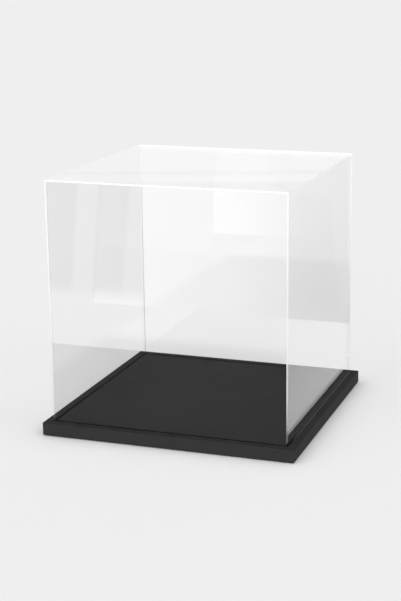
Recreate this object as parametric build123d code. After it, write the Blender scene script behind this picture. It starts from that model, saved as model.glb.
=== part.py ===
# Cube display case: a clear cover of five sheets, welded edge to edge, that stands in a groove
# routed round a black board. The cover lifts straight off.
# Millimetres, +Z up. The origin is on the table, under the middle of the board.

import os

from build123d import *

# Cover, measured outside.
cover_width = 300.0
cover_depth = 300.0
cover_height = 303.0
sheet_thickness = 2.0
top_edge_break = 0.3

# Board that the cover stands on. Its rim is what shows outside the cover.
board_rim = 10.5
board_thickness = 16.0
board_edge_radius = 0.8

# Groove that the cover's lower edge stands in, with the sharp edges of its mouth broken.
groove_depth = 3.0
groove_clearance = 0.4
groove_edge_break = 0.4

# Non-slip pads stuck under the board's corners.
pad_diameter = 20.0
pad_thickness = 1.0
pad_inset = 14.0
pad_edge_break = 0.2

# Levels and sizes that follow from the values above.
board_width = cover_width + 2 * board_rim
board_depth = cover_depth + 2 * board_rim
board_top = pad_thickness + board_thickness
groove_floor = board_top - groove_depth
wall_height = cover_height - sheet_thickness


def slab(width, depth, height, x=0.0, y=0.0, z=0.0):
    """Upright block on the level z, centred on x and y."""
    on_its_floor = (Align.CENTER, Align.CENTER, Align.MIN)
    return Pos(x, y, z) * Box(width, depth, height, align=on_its_floor)


def side_wall(side):
    """Left (-1) or right (+1) wall, which runs the full depth of the cover."""
    middle = side * (cover_width - sheet_thickness) / 2
    return slab(sheet_thickness, cover_depth, wall_height, x=middle, z=groove_floor)


def cross_wall(side):
    """Front (-1) or back (+1) wall, which fits between the two side walls."""
    middle = side * (cover_depth - sheet_thickness) / 2
    between = cover_width - 2 * sheet_thickness
    return slab(between, sheet_thickness, wall_height, y=middle, z=groove_floor)


def top_panel():
    """Top sheet, which lies on all four walls and has its upper edges broken."""
    sheet = slab(cover_width, cover_depth, sheet_thickness, z=groove_floor + wall_height)
    upper_edges = sheet.faces().sort_by(Axis.Z)[-1].edges()
    return chamfer(upper_edges, top_edge_break)


def wall_ring():
    """Groove's cutter: the walls' footprint, wider by the clearance on both sides."""
    spare = 2 * groove_clearance
    outer = slab(cover_width + spare, cover_depth + spare, groove_depth, z=groove_floor)
    inside_width = cover_width - 2 * sheet_thickness - spare
    inside_depth = cover_depth - 2 * sheet_thickness - spare
    return outer - slab(inside_width, inside_depth, groove_depth, z=groove_floor)


def board():
    """Board with rounded edges and a groove whose mouth has broken edges. The mouth's edges are
    the ones on the board's top that lie inside the middle of the rim."""
    blank = slab(board_width, board_depth, board_thickness, z=pad_thickness)
    grooved = fillet(blank.edges(), board_edge_radius) - wall_ring()
    rim_middle_x = (cover_width + board_rim) / 2
    rim_middle_y = (cover_depth + board_rim) / 2
    mouth = grooved.edges().filter_by_position(Axis.Z, board_top, board_top)
    mouth = mouth.filter_by_position(Axis.X, -rim_middle_x, rim_middle_x)
    mouth = mouth.filter_by_position(Axis.Y, -rim_middle_y, rim_middle_y)
    return chamfer(mouth, groove_edge_break)


def foot_pad(side_x, side_y):
    """Round pad under one corner of the board, with its lower edge broken."""
    from_edge = pad_inset + pad_diameter / 2
    x = side_x * (board_width / 2 - from_edge)
    y = side_y * (board_depth / 2 - from_edge)
    on_its_floor = (Align.CENTER, Align.CENTER, Align.MIN)
    disc = Cylinder(pad_diameter / 2, pad_thickness, align=on_its_floor)
    lower_edge = disc.faces().sort_by(Axis.Z)[0].edges()
    return Pos(x, y, 0) * chamfer(lower_edge, pad_edge_break)


pieces = {
    "cover_top_panel": top_panel(),
    "cover_front_panel": cross_wall(-1),
    "cover_back_panel": cross_wall(+1),
    "cover_left_panel": side_wall(-1),
    "cover_right_panel": side_wall(+1),
    "base_board": board(),
}
for end, side_y in (("front", -1), ("back", +1)):
    for hand, side_x in (("left", -1), ("right", +1)):
        pieces[f"foot_pad_{end}_{hand}"] = foot_pad(side_x, side_y)

os.makedirs("parts", exist_ok=True)
for name, shape in pieces.items():
    export_step(shape, f"parts/{name}.step")
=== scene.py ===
# %% [markdown]
# A clear display case on a black board.
# The real object is a cube cover of five acrylic sheets, welded edge to edge, that stands in a
# groove routed round a painted board. The sheets, the board and its pads come from the packed
# model, at their real size. This lesson gives them their finishes, adds the fine beads that the
# welds leave, and sets up a plain pale studio round them.

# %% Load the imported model
import math

import bpy
import numpy as np
from mathutils import Euler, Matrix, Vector


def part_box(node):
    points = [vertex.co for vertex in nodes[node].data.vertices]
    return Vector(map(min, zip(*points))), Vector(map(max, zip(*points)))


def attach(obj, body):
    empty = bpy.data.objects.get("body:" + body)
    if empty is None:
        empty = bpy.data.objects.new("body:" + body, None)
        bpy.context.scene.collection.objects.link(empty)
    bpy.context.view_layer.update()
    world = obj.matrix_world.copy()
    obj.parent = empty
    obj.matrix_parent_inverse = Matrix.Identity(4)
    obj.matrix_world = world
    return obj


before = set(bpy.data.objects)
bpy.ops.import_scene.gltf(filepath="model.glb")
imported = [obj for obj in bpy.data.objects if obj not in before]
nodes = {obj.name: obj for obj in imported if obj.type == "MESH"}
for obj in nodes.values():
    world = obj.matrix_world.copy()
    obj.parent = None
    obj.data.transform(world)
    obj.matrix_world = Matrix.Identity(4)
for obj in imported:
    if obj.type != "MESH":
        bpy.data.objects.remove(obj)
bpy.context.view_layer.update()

# %% [markdown]
# The photograph's view.
# A camera is found from a photograph by matching the object's edges with their places in the
# picture. It stands in front, to the right and above, and looks down by about fifteen degrees.
# The photograph was cropped a little off its middle, which is what the lens shift is for.
# A ray that looks through the case crosses many clear surfaces, so the renderer is let through
# more of them than its usual eight.

# %% Camera
MM = 0.001
CAMERA_PLACE = (574.1 * MM, -1619.8 * MM, 591.8 * MM)
CAMERA_TURN = (75.387, 0.471, 18.684)
SENSOR_MM = 36.0
LENS_MM = 83.44
LENS_SHIFT = -0.04
CLEAR_SURFACES = 32


def add_object(name, data):
    """Puts a new object with this mesh, lamp or camera into the scene."""
    made = bpy.data.objects.new(name, data)
    bpy.context.scene.collection.objects.link(made)
    return made


lens = bpy.data.cameras.new("camera")
lens.lens = LENS_MM
lens.sensor_width = SENSOR_MM
lens.shift_x = LENS_SHIFT
camera = add_object("camera", lens)
camera.location = CAMERA_PLACE
camera.rotation_euler = Euler([math.radians(turn) for turn in CAMERA_TURN])
bpy.context.scene.camera = camera
bpy.context.scene.view_settings.view_transform = "Standard"
bpy.context.scene.cycles.transparent_max_bounces = CLEAR_SURFACES
print("camera at", CAMERA_PLACE, "lens", LENS_MM, "mm")

# %% [markdown]
# Shader maths as Python.
# A node tree can be drawn by hand, but a formula reads better as an expression. A Wire is one
# output of a node, and the sum, product or power of Wires adds the Math nodes that work it out.
# A Finish is a material with its tree, and its node method makes every other node.


# %% Helpers for materials
class Wire:
    """One output socket. Arithmetic on it adds Math nodes and gives a new Wire."""

    def __init__(self, finish, socket):
        self.finish = finish
        self.socket = socket

    def math(self, operation, *others):
        sockets = dict(enumerate((self, *others)))
        return self.finish.node("ShaderNodeMath", {"operation": operation}, sockets)

    def __add__(self, other):
        return self.math("ADD", other)

    def __radd__(self, other):
        return self.math("ADD", other)

    def __mul__(self, other):
        return self.math("MULTIPLY", other)

    def __rmul__(self, other):
        return self.math("MULTIPLY", other)

    def __sub__(self, other):
        return self.math("SUBTRACT", other)

    def __rsub__(self, other):
        return self.math("MULTIPLY", -1.0).math("ADD", other)

    def __pow__(self, other):
        return self.math("POWER", other)

    def __abs__(self):
        return self.math("ABSOLUTE")

    def above(self, limit):
        """1 where the value is above the limit, and 0 elsewhere."""
        return self.math("GREATER_THAN", limit)

    def below(self, limit):
        """1 where the value is below the limit, and 0 elsewhere."""
        return self.math("LESS_THAN", limit)

    def ramp(self, start, end):
        """0 at start, 1 at end and smooth between them. The start may be the larger."""
        settings = {"interpolation_type": "SMOOTHSTEP"}
        sockets = {"Value": self, "From Min": start, "From Max": end}
        return self.finish.node("ShaderNodeMapRange", settings, sockets)


class Finish:
    """A material, or the world, with its node tree emptied."""

    def __init__(self, name, owner=None):
        self.owner = owner or bpy.data.materials.new(name)
        self.owner.use_nodes = True
        self.tree = self.owner.node_tree
        self.tree.nodes.clear()

    def node(self, kind, settings=None, sockets=None, output=0):
        """Makes one node: its settings first, then the values or Wires of its sockets."""
        made = self.tree.nodes.new(kind)
        for name, value in (settings or {}).items():
            setattr(made, name, value)
        for name, value in (sockets or {}).items():
            if isinstance(value, Wire):
                self.tree.links.new(value.socket, made.inputs[name])
            else:
                made.inputs[name].default_value = value
        return Wire(self, made.outputs[output])

    def place(self):
        """The surface's own place, which stays with the piece when it moves."""
        return self.node("ShaderNodeTexCoord", output="Object")

    def facing(self):
        """The surface's own normal, in the same directions as its place."""
        return self.node("ShaderNodeTexCoord", output="Normal")

    def part(self, vector, axis):
        """One of the three numbers of a vector, by its axis."""
        return self.node("ShaderNodeSeparateXYZ", sockets={0: vector}, output=axis)

    def noise(self, place, scale, detail=2.0):
        """Smooth random values from 0 to 1. The scale is in patches per metre."""
        sockets = {"Vector": place, "Scale": scale, "Detail": detail}
        return self.node("ShaderNodeTexNoise", sockets=sockets)

    def bump(self, height, depth):
        """A normal tilted as if the surface rose by this depth, in metres, where height is 1."""
        sockets = {"Height": height, "Distance": depth, "Strength": 1.0}
        return self.node("ShaderNodeBump", sockets=sockets)

    def blend(self, share, first, second):
        """Mix of two shaders: the first at 0, the second at 1."""
        return self.node("ShaderNodeMixShader", sockets={0: share, 1: first, 2: second})

    def tint(self, share, first, second):
        """Mix of two colours: the first at 0, the second at 1."""
        settings = {"data_type": "RGBA"}
        return self.node("ShaderNodeMix", settings, {0: share, 6: first, 7: second}, 2)

    def end(self, shader, kind="ShaderNodeOutputMaterial"):
        """Ends the tree in this shader."""
        self.tree.links.new(shader.socket, self.tree.nodes.new(kind).inputs["Surface"])

    def give(self, piece):
        """Makes this the piece's only material."""
        piece.data.materials.clear()
        piece.data.materials.append(self.owner)


def grey(level):
    """Plain grey as a colour with its alpha."""
    return (level, level, level, 1)


# %% [markdown]
# The studio.
# The case stands on a plain pale floor. One that is far larger than the view, lit by an even world,
# gives paleness all round without a horizon. Two wide suns shape the object: one from the right,
# whose faint shadow lies to the left of the board, and one from the front, which lights the faces
# that look at the viewer. World and suns together light a face that looks up by about 1, so that
# colours come out as they are written.

# %% Floor
FLOOR_HALF = 14.0
FLOOR_TONE = 0.86


def flat_panel(name, low, high):
    """Rectangle between two corners that differ along two of the three axes."""
    low, high = np.array(low, float), np.array(high, float)
    along, up = np.diag(high - low)[high > low]
    corners = np.array([low, low + along, high, low + up])
    mesh = bpy.data.meshes.new(name)
    mesh.from_pydata(corners.tolist(), [], [(0, 1, 2, 3)])
    made = add_object(name, mesh)
    return made


paper = Finish("studio_paper")
paper.end(paper.node("ShaderNodeBsdfDiffuse", sockets={"Color": grey(FLOOR_TONE)}))
paper.give(flat_panel("studio_floor", (-FLOOR_HALF, -FLOOR_HALF, 0), (FLOOR_HALF, FLOOR_HALF, 0)))

# %% World
BACKGROUND = 0.86
WORLD_LIGHT = 0.77
WORLD_MIRRORED = 0.965

world = bpy.data.worlds.new("studio_world")
bpy.context.scene.world = world
sky = Finish("studio_world", world)
seen = sky.node("ShaderNodeLightPath", output="Is Camera Ray")
mirrored = sky.node("ShaderNodeLightPath", output="Is Glossy Ray")
level = WORLD_LIGHT + (BACKGROUND - WORLD_LIGHT) * seen + (WORLD_MIRRORED - WORLD_LIGHT) * mirrored
glow = sky.node("ShaderNodeBackground", sockets={"Color": grey(1), "Strength": level})
sky.end(glow, "ShaderNodeOutputWorld")


# %% Suns
def soft_sun(name, strength, width, comes_from):
    """Sun that shines from this direction. Its width in degrees sets how soft its shadows are."""
    light = bpy.data.lights.new(name, "SUN")
    light.energy = strength
    light.angle = math.radians(width)
    lamp = add_object(name, light)
    lamp.rotation_euler = Vector(comes_from).to_track_quat("Z", "Y").to_euler()
    lamp.visible_glossy = False


soft_sun("key_sun", strength=0.42, width=30, comes_from=(0.75, -0.08, 0.65))
soft_sun("front_sun", strength=0.92, width=60, comes_from=(-0.3, -0.8, 0.5))
print("studio: floor", FLOOR_TONE, "background", BACKGROUND, "world light", WORLD_LIGHT)

# %% [markdown]
# What the clear walls mirror.
# Clear sheet shows little but its reflections, so a photographer places cards round it: white
# ones to draw a wall, black ones to keep a dark thing behind it deep. A picture wrapped round the
# scene could do the same, but cards need no image, and each wall gets its own. They are seen by
# mirrored rays alone, and each fades out towards its rim, so that no hard outline shows in a wall.

# %% Cards
BRIGHTEST = 2.0


def card(name, low, high, fade, glow):
    """Panel that only reflections see. glow works out its light from X, Y and Z of a place on
    it, and it fades out within this distance of its rim."""
    panel = flat_panel(name, low, high)
    light = Finish(name)
    place = [light.part(light.place(), axis) for axis in "XYZ"]
    solid = 1.0
    for along, start, end in zip(place, low, high):
        if end > start:
            to_rim = (along - start).math("MINIMUM", end - along)
            solid = solid * to_rim.ramp(0.0, fade)
    colour = light.tint(glow(*place) * (1 / BRIGHTEST), grey(0), grey(1))
    lit = light.node("ShaderNodeEmission", sockets={"Color": colour, "Strength": BRIGHTEST})
    clear = light.node("ShaderNodeBsdfTransparent")
    light.end(light.blend(solid, clear, lit))
    light.give(panel)
    panel.visible_camera = False
    panel.visible_diffuse = False
    panel.visible_transmission = False
    panel.visible_shadow = False
    print(name, "from", low, "to", high)


# %% [markdown]
# The cards in front.
# The back wall mirrors the one that stands, and shows its step as an upright line. The one on the
# floor is black where the front wall mirrors it, so that the board stays deep behind that wall.

# %% Card that stands in front
FRONT_Y = -0.75
FRONT_TONE = 1.06
LEAN, LEAN_FROM = 0.0965, 0.163
STEP_RISE, STEP_START, STEP_END = 0.86, -0.3482, -0.3468
FALLS = ((0.38, -0.33, -0.07), (0.70, -0.14, -0.01))


def stepped(x, y, z):
    """Pale as far as the step, which leans a little, then white. Towards the right its tone
    falls twice, each time by so much between two places."""
    across = x - LEAN * (z - LEAN_FROM)
    level = FRONT_TONE + STEP_RISE * across.ramp(STEP_START, STEP_END)
    for fall, start, end in FALLS:
        level = level - fall * x.ramp(start, end)
    return level


card("white_card_front", low=(-0.62, FRONT_Y, -0.01), high=(0.40, FRONT_Y, 0.90),
     fade=0.01, glow=stepped)

# %% Card on the floor in front
CARD_Z = 0.001
NEAR_TONE, FAR_RISE = 0.05, 1.30
TURN_START, TURN_END = -0.53, -0.60


def two_toned(x, y, z):
    """Black near the case, and white at the far end, where it meets the card that stands up."""
    return NEAR_TONE + FAR_RISE * y.ramp(TURN_START, TURN_END)


card("two_toned_card_floor", low=(-0.28, -0.79, CARD_Z), high=(0.26, -0.14, CARD_Z),
     fade=0.04, glow=two_toned)

# %% [markdown]
# The cards at the side and behind.
# The left wall mirrors the stripes of the card behind as upright bands, and the right wall mirrors
# the white one on the floor and the grey one. High up behind stands one as pale as the world, with
# two darker bands that the top mirrors as faint streaks.

# %% Card on the floor at the right
SIDE_TONE, SIDE_SLOPE = 0.895, 0.05


def white(x, y, z):
    """A little whiter than the floor, and a touch more so towards the right."""
    return SIDE_TONE + SIDE_SLOPE * x


card("white_card_floor", low=(0.162, -0.12, CARD_Z), high=(0.480, 0.45, CARD_Z),
     fade=0.02, glow=white)

# %% Striped card behind
BACK_Y = 0.45
FIRST_STRIPE = 0.28
NEXT_STRIPES = ((-0.0020, -0.23), (0.0515, 0.51), (0.0905, -0.30))
STRIPE_BLUR = 0.5 * MM
HEAD_TONE, HEAD_START, HEAD_END = 0.5, 0.203, 0.207
FOOT_TONE, FOOT_START, FOOT_END = 0.8, 0.035, 0.0


def striped(x, y, z):
    """Four stripes side by side, which lean a little. Each next one starts at its place with a
    change of tone. At the card's head they turn to an even grey, and at its foot to the floor's
    paleness."""
    across = x + LEAN * (z - LEAN_FROM)
    level = FIRST_STRIPE
    for start, change in NEXT_STRIPES:
        level = level + change * across.ramp(start - STRIPE_BLUR, start + STRIPE_BLUR)
    level = level + (HEAD_TONE - level) * z.ramp(HEAD_START, HEAD_END)
    return level + (FOOT_TONE - level) * z.ramp(FOOT_START, FOOT_END)


card("striped_card_back", low=(-0.070, BACK_Y, -0.05), high=(0.180, BACK_Y, 0.34),
     fade=0.035, glow=striped)

# %% Grey card behind, at the right
GREY_Y = BACK_Y + 0.001
GREY_TONE, GREY_SLOPE = 0.60, 0.75


def rising(x, y, z):
    """Brighter with height."""
    return GREY_TONE + GREY_SLOPE * z


card("grey_card_right", low=(0.20, GREY_Y, -0.02), high=(0.36, GREY_Y, 0.34),
     fade=0.02, glow=rising)

# %% Banded card high up behind
HIGH_Y = 0.90
BAND_LEAN = 0.052
NARROW_START, NARROW_DARK, NARROW_LIGHT, NARROW_END = 0.462, 0.465, 0.467, 0.470
WIDE_START, WIDE_DARK = 0.483, 0.486
BAND_DEPTH, BAND_SLOPE = 0.105, 0.06


def banded(x, y, z):
    """As pale as the world looks in a mirror, with a narrow darker band, and above it a wide one
    that runs on to the card's upper rim. They lean a little, and grow darker to the right."""
    across = z + BAND_LEAN * x
    narrow = across.ramp(NARROW_START, NARROW_DARK) * across.ramp(NARROW_END, NARROW_LIGHT)
    wide = across.ramp(WIDE_START, WIDE_DARK)
    return WORLD_MIRRORED - (BAND_DEPTH + BAND_SLOPE * x) * (narrow + wide)


card("banded_card_high", low=(-0.72, HIGH_Y, 0.41), high=(0.12, HIGH_Y, 0.60),
     fade=0.02, glow=banded)

# %% [markdown]
# Clear acrylic sheet.
# Sheet this thin hardly bends what is behind it, so it is drawn as a surface that lets light
# straight through and mirrors a share of it. A glass shader could draw it too, but its shadow
# comes out dark unless far more rays are traced. The share is about four percent head on, and
# rises with the fifth power of how far the face turns away, up to all of it at a glancing angle.
# The faces of real sheet are never quite flat, so a faint wide bump lets straight things waver.

# %% Clear faces
ACRYLIC_IOR = 1.49
MIRROR_HEAD_ON = ((ACRYLIC_IOR - 1) / (ACRYLIC_IOR + 1)) ** 2
WAVES_PER_METRE = 9.0
WAVE_DEPTH = 0.03 * MM


def clear_face(sheet, through=grey(1)):
    """Shader of a clear face, which lets this share of each colour through."""
    away = sheet.node("ShaderNodeLayerWeight", sockets={"Blend": 0.5}, output="Facing")
    share = MIRROR_HEAD_ON + (1 - MIRROR_HEAD_ON) * away ** 5
    wave = sheet.bump(sheet.noise(sheet.place(), WAVES_PER_METRE, detail=0.0), WAVE_DEPTH)
    clear = sheet.node("ShaderNodeBsdfTransparent", sockets={"Color": through})
    shine = {"Color": grey(1), "Roughness": 0.0, "Normal": wave}
    mirror = sheet.node("ShaderNodeBsdfGlossy", sockets=shine)
    return sheet.blend(share, clear, mirror)


print("clear faces mirror", round(MIRROR_HEAD_ON, 4), "of the light head on")

# %% [markdown]
# Cut edges.
# Light that entered the sheet's large faces runs along inside it and comes out at the cut ends,
# so a sawn and polished end looks white and half see-through. Here the ends are painted pale, and
# glow with an emission: both are painted light that stands in for it. The glow is whiter towards
# the top, where more light comes in, and whitest on the far side, where it is seen from inside the
# sheet. At the foot the ends are painted dimmer, a painted shade, and their last few millimetres
# show only the black board. An end that is welded to a neighbour lets the light on into it, and
# shows next to nothing, and on the left half of the case less still, a painted shade away from the
# light. The soles are painted black, a painted shade for the groove that they stand on. Only the
# side walls' soles have a little painted glow, the right one most, because it is nearest to the
# light, and their front ends don't. White strips laid on the ends could show all this, but a sheet
# is one piece, so the direction that a face looks in picks out its ends.

# %% Cut edges
EDGE_TONE = 0.74
EDGE_ROUGHNESS = 0.35
# The ends' glow is painted light, an emission that rises from the foot to the top.
GLOW_LOW = 0.02
GLOW_HIGH = 0.26
EDGE_SHARE = 0.70
# The ends' white share near the foot is smaller: a painted shade.
FOOT_SHARE = 0.14
WELD_SHARE = 0.04
# The left half's welded ends are painted less white: a painted shade away from the light.
LEFT_SHADED_PART = 0.4
FOOT_DIM = 70 * MM
FOOT_BLACK, FOOT_LIT = 3 * MM, 5 * MM
# The back ends get extra painted glow.
BACK_END = 0.5 * MM
BACK_DIM_BELOW, BACK_BRIGHT_ABOVE = 90 * MM, 200 * MM
# The soles' black is a painted shade.
SOLE_SHADE_TONE = 0.010
# The soles' glow is painted light, strongest on the right.
SOLE_GLOW_LEFT, SOLE_GLOW_RIGHT = 0.008, 0.08
SOLE_DARK_BEFORE, SOLE_LIT_BEHIND = -130 * MM, -96 * MM
HAIR = 0.1 * MM
FLAT_ON, HALF_TURNED = 0.9, 0.5
BOARD_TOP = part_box("base_board")[1][2]
COVER_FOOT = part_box("cover_left_panel")[0][2]
COVER_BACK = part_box("cover_left_panel")[1][1]
COVER_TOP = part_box("cover_top_panel")[1][2]
INNER_X = (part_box("cover_left_panel")[1][0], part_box("cover_right_panel")[0][0])


def sole_glow(finish):
    """Painted light, an emission, at the soles of the two side walls and on the groove's floor under
    them, brightest on the right.
    """
    across, along = (finish.part(finish.place(), axis) for axis in "XY")
    lit = SOLE_GLOW_LEFT + (SOLE_GLOW_RIGHT - SOLE_GLOW_LEFT) * across.above(0)
    return lit * abs(across).above(INNER_X[1]) * along.ramp(SOLE_DARK_BEFORE, SOLE_LIT_BEHIND)


def clear_sheet(name, thin, bare, high=GLOW_HIGH, back=0.0, other=WELD_SHARE):
    """Finish of the sheet of this name, which is thin along one axis and has bare ends along
    another. high and back are the painted glow at the top and what the back end adds to it. other is
    the white share of the other ends, of which the left half of the case gets a part, a painted
    shade."""
    sheet = Finish(f"clear_acrylic_{name}")
    facing = sheet.facing()
    height = sheet.part(sheet.place(), "Z")
    at_back = sheet.part(sheet.place(), "Y").above(COVER_BACK - BACK_END)
    on_right = sheet.part(sheet.place(), "X").above(0)
    at_foot = height.below(COVER_FOOT + HAIR)
    rise = height.ramp(BOARD_TOP, COVER_TOP)
    # Painted light: the ends glow with an emission that rises towards the top, and more at some back
    # ends.
    glow = GLOW_LOW + (high - GLOW_LOW) * rise + (sole_glow(sheet) - GLOW_LOW) * at_foot
    glow = glow + back * at_back * height.ramp(BACK_DIM_BELOW, BACK_BRIGHT_ABOVE)
    # Painted shade: the soles are painted black; their glow is painted light.
    cut = sheet.node("ShaderNodeBsdfPrincipled", sockets={
        "Base Color": sheet.tint(at_foot, grey(EDGE_TONE), grey(SOLE_SHADE_TONE)),
        "Roughness": EDGE_ROUGHNESS,
        "Emission Color": sheet.tint(glow, grey(0), grey(1)), "Emission Strength": 1.0})
    end = abs(sheet.part(facing, thin)).below(FLAT_ON)
    is_bare = abs(sheet.part(facing, bare)).above(HALF_TURNED)
    # Painted shade: the white share falls towards the foot.
    clear_of_foot = height.ramp(BOARD_TOP, BOARD_TOP + FOOT_DIM)
    bare_share = FOOT_SHARE + (EDGE_SHARE - FOOT_SHARE) * clear_of_foot
    # Painted shade: the welded ends on the left half get only a part of the white share.
    other_share = other * (LEFT_SHADED_PART + (1 - LEFT_SHADED_PART) * on_right)
    white = end * (other_share + is_bare * (bare_share - other_share))
    white = white * height.ramp(BOARD_TOP + FOOT_BLACK, BOARD_TOP + FOOT_LIT)
    white = white.math("MAXIMUM", end * at_foot)
    sheet.end(sheet.blend(white, clear_face(sheet), cut))
    sheet.give(nodes[f"cover_{name}_panel"])


clear_sheet("left", "X", "Y")
clear_sheet("right", "X", "Y", back=0.18)
clear_sheet("top", "Z", "Y", high=0.34, back=0.12, other=0.25)
clear_sheet("front", "Y", "Z")
clear_sheet("back", "Y", "Z")
print("cover sheets from z", round(COVER_FOOT, 4), "to", round(COVER_TOP, 4))

# %% [markdown]
# Weld beads.
# The sheets are joined with a thin solvent, which leaves a bead in each inner corner. It is a
# small hollow fillet of clear cement, and its width wanders a little, because it is run in by
# hand. The bead in the back left corner is cloudy up to near the top, and draws a thin grey line.
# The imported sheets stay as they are, so the beads are a mesh of their own: a profile of one corner
# point and a quarter arc, carried along each of the eight inner corners.

# %% Bead surface
BEAD_SIZE = 0.6 * MM
BEAD_SINK = 0.05 * MM
CLEAREST_BEAD = 0.97
CLOUDIEST_BEAD = 0.82
BEAD_WAVES = ((0.02, 23, 1), (0.01, 61, 2))
ARC_POINTS = 7
BEAD_STEPS = 48


def bead_rings(start, end, first, second, phase):
    """Grid of points, steps along the corner by points round the profile. The profile is the
    corner, sunk a little into the sheets, and a quarter circle that bulges towards it. The
    circle's radius is the bead's size, times 1 plus two small sine waves along the corner. Each
    wave has its height, its number of radians along the corner and its share of the phase."""
    start, end, first, second = (np.array(v, float) for v in (start, end, first, second))
    turn = np.linspace(-math.pi / 2, -math.pi, ARC_POINTS)
    steps = np.linspace(0.0, 1.0, BEAD_STEPS)
    wander = sum(rise * np.sin(radians * steps + share * phase)
                 for rise, radians, share in BEAD_WAVES)
    size = BEAD_SIZE * (1 + wander)
    a = np.concatenate(([-BEAD_SINK / BEAD_SIZE], 1 + np.cos(turn)))
    b = np.concatenate(([-BEAD_SINK / BEAD_SIZE], 1 + np.sin(turn)))
    line = start + steps[:, None] * (end - start)
    across = a[:, None] * first + b[:, None] * second
    return line[:, None, :] + size[:, None, None] * across[None, :, :]


def closed_tube(rings):
    """Points and faces of a grid whose profiles are closed, with an end cap on both ends."""
    count, around = rings.shape[:2]
    index = np.arange(count * around).reshape(count, around)
    after = np.roll(index, -1, axis=1)
    quads = np.stack([index[:-1], after[:-1], after[1:], index[1:]], axis=-1).reshape(-1, 4)
    caps = [index[0][::-1].tolist(), index[-1].tolist()]
    return rings.reshape(-1, 3), quads.tolist() + caps


# %% Beads in the cover
INNER_Y = (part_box("cover_front_panel")[1][1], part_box("cover_back_panel")[0][1])
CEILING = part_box("cover_top_panel")[0][2]
BEAD_FOOT = BOARD_TOP + 0.5 * MM
BEAD_PHASE = 1.7
CLOUD_OUTSIDE = 140 * MM
CLEAR_ABOVE, CLOUDY_BELOW = 275 * MM, 255 * MM

corners = []
for x, in_x in zip(INNER_X, (1, -1)):
    for y, in_y in zip(INNER_Y, (1, -1)):
        corners.append(((x, y, BEAD_FOOT), (x, y, CEILING), (in_x, 0, 0), (0, in_y, 0)))
for x, in_x in zip(INNER_X, (1, -1)):
    corners.append(((x, INNER_Y[0], CEILING), (x, INNER_Y[1], CEILING), (in_x, 0, 0), (0, 0, -1)))
for y, in_y in zip(INNER_Y, (1, -1)):
    corners.append(((INNER_X[0], y, CEILING), (INNER_X[1], y, CEILING), (0, in_y, 0), (0, 0, -1)))

points, faces = [], []
for number, (start, end, first, second) in enumerate(corners):
    if np.dot(np.cross(first, second), np.subtract(end, start)) > 0:
        first, second = second, first
    rings = bead_rings(start, end, first, second, BEAD_PHASE * number)
    ring_points, ring_faces = closed_tube(rings)
    shift = sum(len(some) for some in points)
    points.append(ring_points)
    faces += [[corner + shift for corner in face] for face in ring_faces]
bead_mesh = bpy.data.meshes.new("weld_beads")
bead_mesh.from_pydata(np.concatenate(points).tolist(), [], faces)
beads = add_object("weld_beads", bead_mesh)
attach(beads, "cover")

cement = Finish("weld_cement")
spot = cement.place()
cloudy = cement.part(spot, "X").below(-CLOUD_OUTSIDE) * cement.part(spot, "Y").above(CLOUD_OUTSIDE)
cloudy = cloudy * cement.part(spot, "Z").ramp(CLEAR_ABOVE, CLOUDY_BELOW)
clearest, cloudiest = (clear_face(cement, grey(share)) for share in (CLEAREST_BEAD, CLOUDIEST_BEAD))
cement.end(cement.blend(cloudy, clearest, cloudiest))
cement.give(beads)
print("weld beads:", len(corners), "corners,", len(bead_mesh.polygons), "faces")

# %% [markdown]
# Black board.
# The board is fibreboard, routed, sanded and sprayed a matt black. Its faces have the fine pebbled
# skin of sprayed paint. Its sawn edges are painted a little greyer than the top, a painted light for
# the stronger light that falls on them, with traces of the board's layers. The rim is a little
# blacker than the middle, most of all at the front; its lesser blackness towards the back is a
# painted sheen. The groove is the darkest, a painted shade in the recess, and under the side walls
# its floor has a painted glow. Pictures of paint would need the board unwrapped, so noise that reads
# the place on the board makes the skin, and has no seams.

# %% Black paint
TOP_TONE = 0.021
RIM_TONE = 0.0155
# The uprights are painted paler than the top: painted light for the stronger light they catch.
EDGE_FACE_LIT_TONE = 0.038
# The groove's tone is a painted shade in the recess.
GROOVE_SHADE_TONE = 0.010
# The rim's lesser blackness towards the back is a painted sheen.
RIM_BLACK_BEFORE, RIM_PALER_BEHIND, RIM_BACK_SHEEN = -120 * MM, 100 * MM, 0.5
CLOUDS_PER_METRE, CLOUD_SHARE, CLOUD_GAIN = 20, 0.25, 1.4
PEBBLES_PER_METRE, PEBBLE_HEIGHT = 700, 0.02 * MM
LAYER_STRETCH = (25, 25, 900)
LAYER_BASE, LAYER_GAIN, LAYER_HEIGHT = 0.6, 0.8, 1.5
UPRIGHT_BELOW = 0.6
OUTER_EDGE = 2 * MM
SPRAYED_ROUGHNESS, CLOUD_ROUGHNESS, SAWN_ROUGHNESS = 0.60, 0.16, 0.2
PAINT_SPECULAR = 0.05

board_low, board_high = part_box("base_board")
paint = Finish("black_paint")
place = paint.place()
height = paint.part(place, "Z")
from_centre = abs(paint.part(place, "X")).math("MAXIMUM", abs(paint.part(place, "Y")))
cloud = paint.noise(place, CLOUDS_PER_METRE)
pebbles = paint.noise(place, PEBBLES_PER_METRE, detail=3.0)
stretched = paint.node("ShaderNodeMapping", sockets={"Vector": place, "Scale": LAYER_STRETCH})
layers = paint.noise(stretched, scale=1.0, detail=3.0)

upright = abs(paint.part(paint.facing(), "Z")).below(UPRIGHT_BELOW)
outer = from_centre.above(board_high[0] - OUTER_EDGE)
groove = height.below(BOARD_TOP - HAIR) * (1 - outer)

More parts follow.
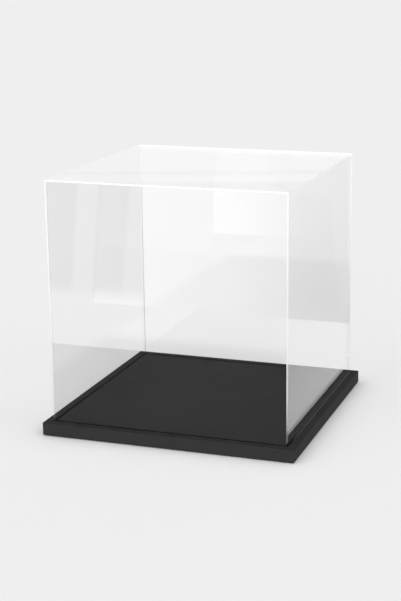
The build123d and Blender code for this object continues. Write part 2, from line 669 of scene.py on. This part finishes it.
rim = from_centre.above(INNER_X[1])
# Painted sheen: the rim loses part of its blackness towards the back.
to_back = paint.part(place, "Y").ramp(RIM_BLACK_BEFORE, RIM_PALER_BEHIND)
tone = paint.tint(rim * (1 - RIM_BACK_SHEEN * to_back), grey(TOP_TONE), grey(RIM_TONE))
# Painted light: the uprights are paler than the top, with traces of the layers.
tone = paint.tint(upright * (LAYER_BASE + LAYER_GAIN * layers), tone, grey(EDGE_FACE_LIT_TONE))
# Painted shade: the groove is the darkest.
tone = paint.tint(groove, tone, grey(GROOVE_SHADE_TONE))
tone = paint.tint(CLOUD_SHARE * cloud, tone, grey(TOP_TONE * CLOUD_GAIN))
# Painted light: the groove's floor under the side walls glows.
glow = groove * sole_glow(paint)
skin = paint.bump(pebbles + LAYER_HEIGHT * upright * layers, PEBBLE_HEIGHT)
roughness = SPRAYED_ROUGHNESS + CLOUD_ROUGHNESS * cloud + SAWN_ROUGHNESS * upright
paint.end(paint.node("ShaderNodeBsdfPrincipled", sockets={
    "Base Color": tone, "Roughness": roughness, "Specular IOR Level": PAINT_SPECULAR,
    "Emission Color": paint.tint(glow, grey(0), grey(1)), "Emission Strength": 1.0,
    "Normal": skin}))
paint.give(nodes["base_board"])
print("board from", np.round(board_low, 4).tolist(), "to", np.round(board_high, 4).tolist())

# %% [markdown]
# Non-slip pads.
# The pads are punched from foamed rubber sheet, which is matt and full of fine open cells. The
# cells are too small to model, so a cell pattern colours them and dents the surface.

# %% Pads
CELLS_PER_METRE = 1500
CELL_DEPTH = 0.1 * MM
CELL_TONE, RIDGE_TONE = 0.016, 0.034
RUBBER_ROUGHNESS = 0.9
RUBBER_SPECULAR = 0.2

rubber = Finish("pad_rubber")
cell_sockets = {"Vector": rubber.place(), "Scale": CELLS_PER_METRE}
cells = rubber.node("ShaderNodeTexVoronoi", sockets=cell_sockets)
rubber.end(rubber.node("ShaderNodeBsdfPrincipled", sockets={
    "Base Color": rubber.tint(cells, grey(CELL_TONE), grey(RIDGE_TONE)),
    "Roughness": RUBBER_ROUGHNESS, "Specular IOR Level": RUBBER_SPECULAR,
    "Normal": rubber.bump(cells, CELL_DEPTH)}))
pads = [nodes[name] for name in nodes if name.startswith("foot_pad")]
for pad in pads:
    rubber.give(pad)
print("pads:", len(pads))
